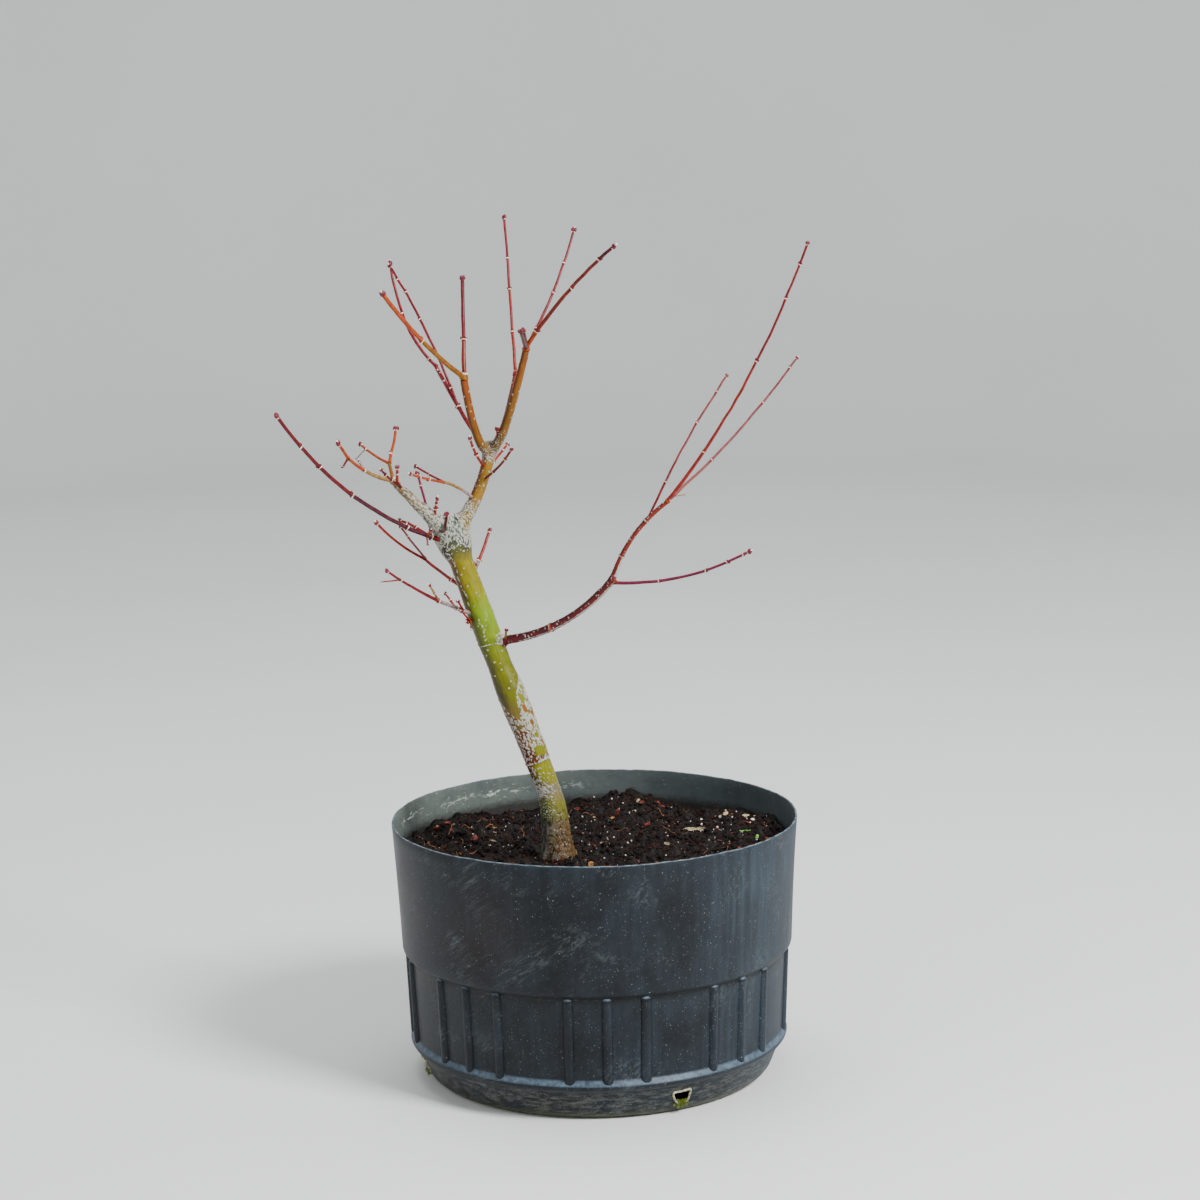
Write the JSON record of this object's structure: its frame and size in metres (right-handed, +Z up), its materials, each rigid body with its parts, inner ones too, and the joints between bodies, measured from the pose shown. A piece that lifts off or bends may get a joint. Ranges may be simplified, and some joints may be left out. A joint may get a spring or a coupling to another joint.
{
  "type": "potted japanese maple",
  "caption": "Small leafless Japanese maple with a leaning trunk, bare boughs and budded red twigs, planted in a low round ribbed plastic nursery pot.",
  "frame": {"origin": "the middle of the pot's flat underside, on the ground", "axes": "+Z is up from the ground, the tree's and the pot's height; -Y is the front, the side that the picture shows; +X is to the right as seen from the front"},
  "size_m": [0.338, 0.2676, 0.5743],
  "materials": {
    "pot_plastic": "weathered dark slate grey plastic with lime marks and fine scratches",
    "potting_soil": "moist crumbly potting mix with bark chips and pale grit",
    "trunk_bark": "smooth yellow-green bark, grey-brown and crusted with white lower down",
    "pale_bark": "whitish grey-tan bark",
    "tan_bark": "tan-orange bark with white specks",
    "orange_bark": "smooth golden orange-brown bark",
    "red_bark": "smooth dark red-brown bark",
    "red_twigs": "smooth crimson twig bark with dark red buds",
    "orange_twigs": "smooth orange-red twig bark with dark red buds",
    "pale_twigs": "dull mauve-grey twig bark with dark red buds"
  },
  "bodies": {
    "root": {"pot": "pot_plastic", "soil": "potting_soil", "trunk": "trunk_bark", "bough_left": "pale_bark", "bough_right": "tan_bark", "bough_top_left": "orange_bark", "bough_top_right": "orange_bark", "bough_top_back": "red_bark", "bough_low_right": "red_bark", "bough_low_right_outer": "red_bark", "twigs_top_left": "orange_twigs", "twigs_top_left_back": "red_twigs", "twigs_top_upright": "red_twigs", "twigs_top_right": "red_twigs", "twigs_inner_left": "red_twigs", "twig_inner_right_back": "red_twigs", "twig_inner_right_front": "red_twigs", "twig_top_spur": "red_twigs", "twigs_left": "orange_twigs", "twigs_left_spurs": "red_twigs", "twig_saddle_thin": "red_twigs", "twig_saddle_short": "red_twigs", "twig_front_spur": "red_twigs", "twigs_arched": "orange_twigs", "twigs_long_left": "red_twigs", "twigs_low_left": "red_twigs", "twigs_lowest_left": "pale_twigs", "twig_trunk_spur": "red_twigs", "twig_right_side": "red_twigs", "twig_bough_foot": "pale_twigs", "twigs_right_inner": "red_twigs", "twigs_right_tips": "red_twigs", "twigs_right_low": "red_twigs"}
  },
  "joints": []
}
